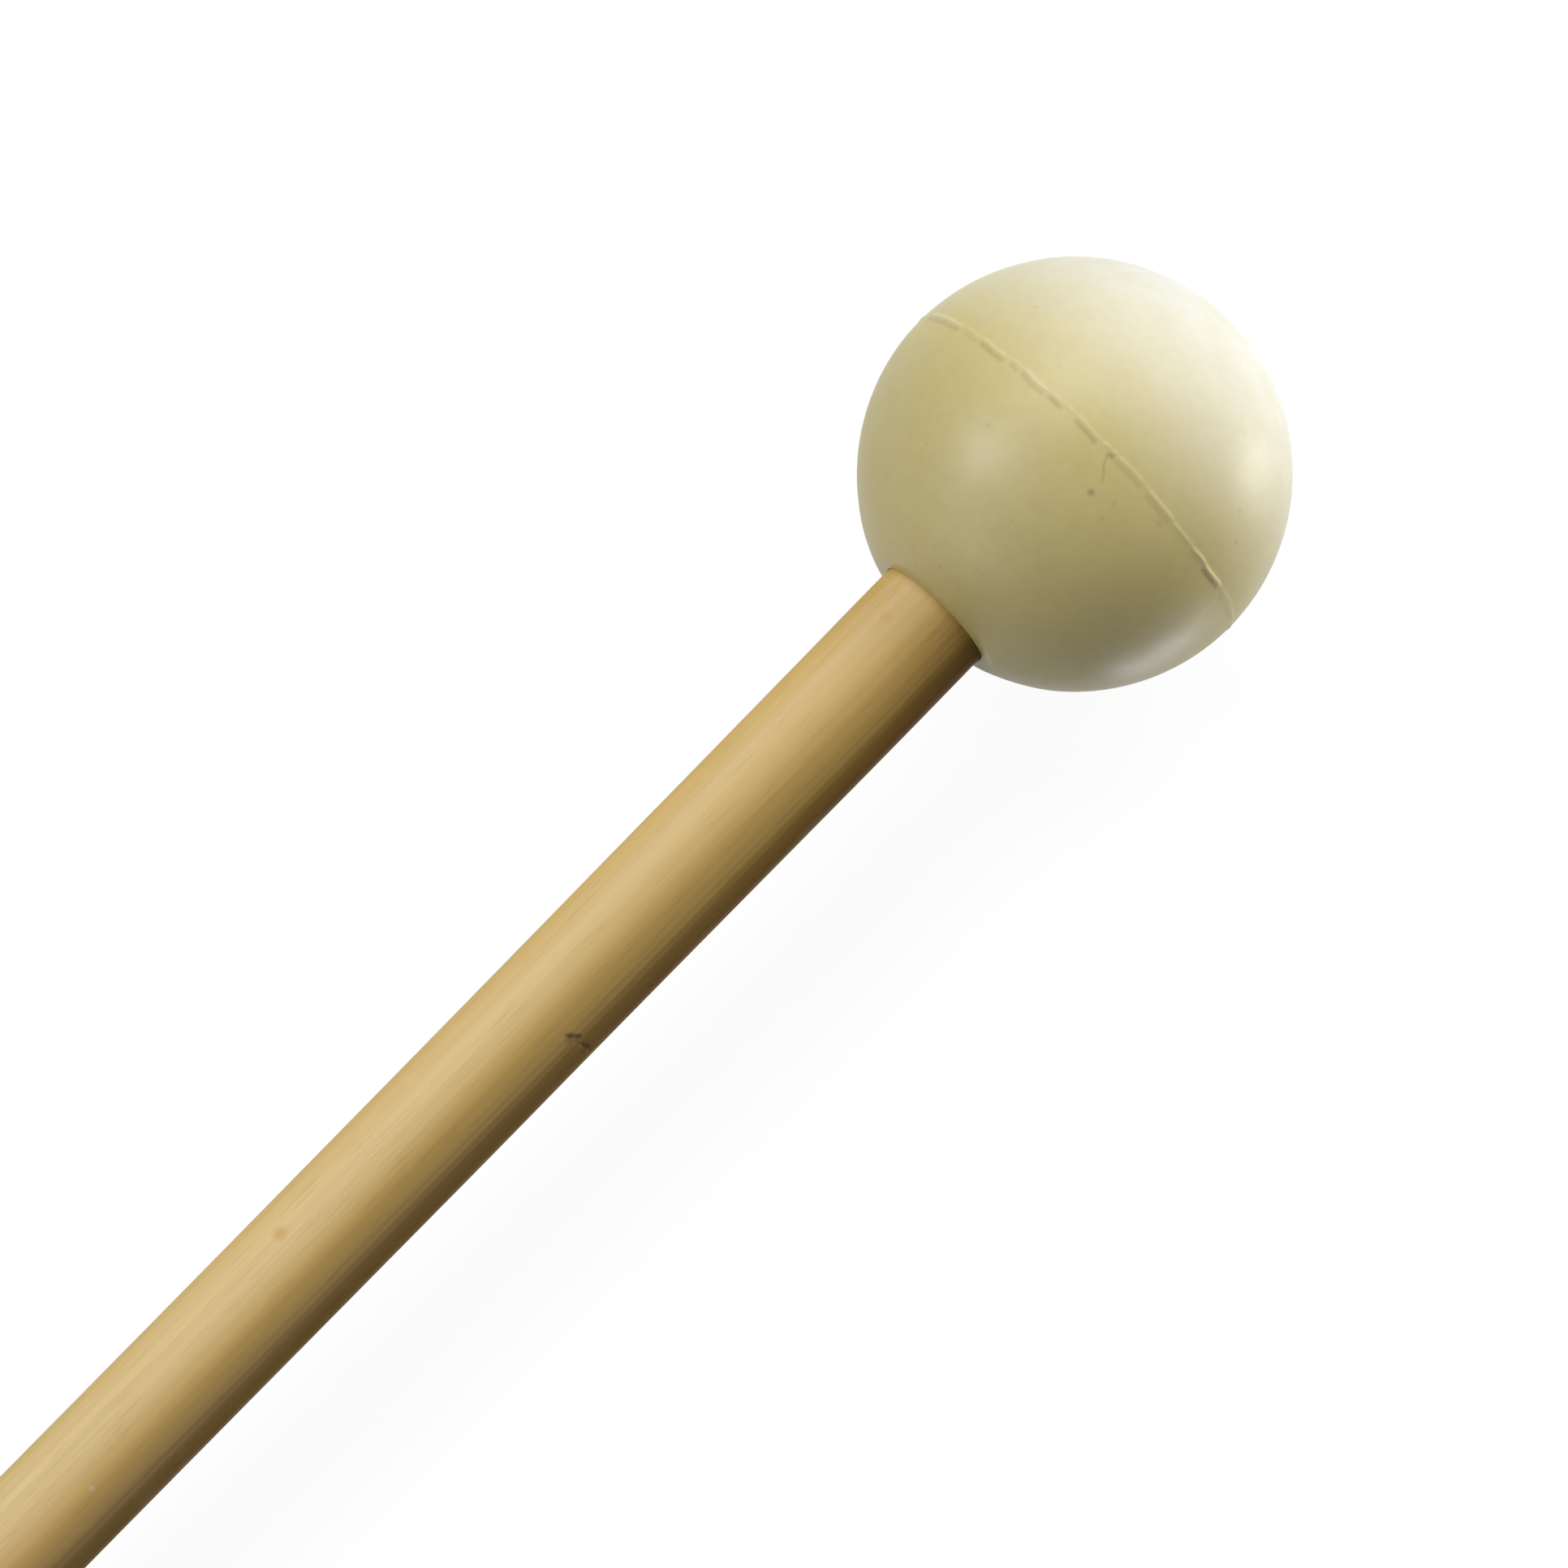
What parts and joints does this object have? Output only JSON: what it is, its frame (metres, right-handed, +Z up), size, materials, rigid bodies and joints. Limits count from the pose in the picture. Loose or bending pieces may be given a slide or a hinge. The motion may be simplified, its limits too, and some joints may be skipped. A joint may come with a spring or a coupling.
{
  "type": "xylophone mallet",
  "caption": "Percussion mallet: a moulded rubber ball head glued on a plain wooden dowel handle, lying at rest.",
  "frame": {"origin": "bottom centre of the bounding box, on the surface that the mallet lies on", "axes": "+Z up; +X along the mallet towards its head, whose axis rises 1.68 degrees over X because the ball is thicker than the dowel; Y across"},
  "size_m": [0.358, 0.0282, 0.0282],
  "materials": {
    "head_rubber": "moulded, satin, khaki cream",
    "shaft_wood": "pale fine-grained wood, thin satin lacquer",
    "cured_glue": "cured amber glue, hidden in the ball"
  },
  "bodies": {
    "root": {"head": "head_rubber", "shaft": "shaft_wood", "glue_bond": "cured_glue"}
  },
  "joints": []
}
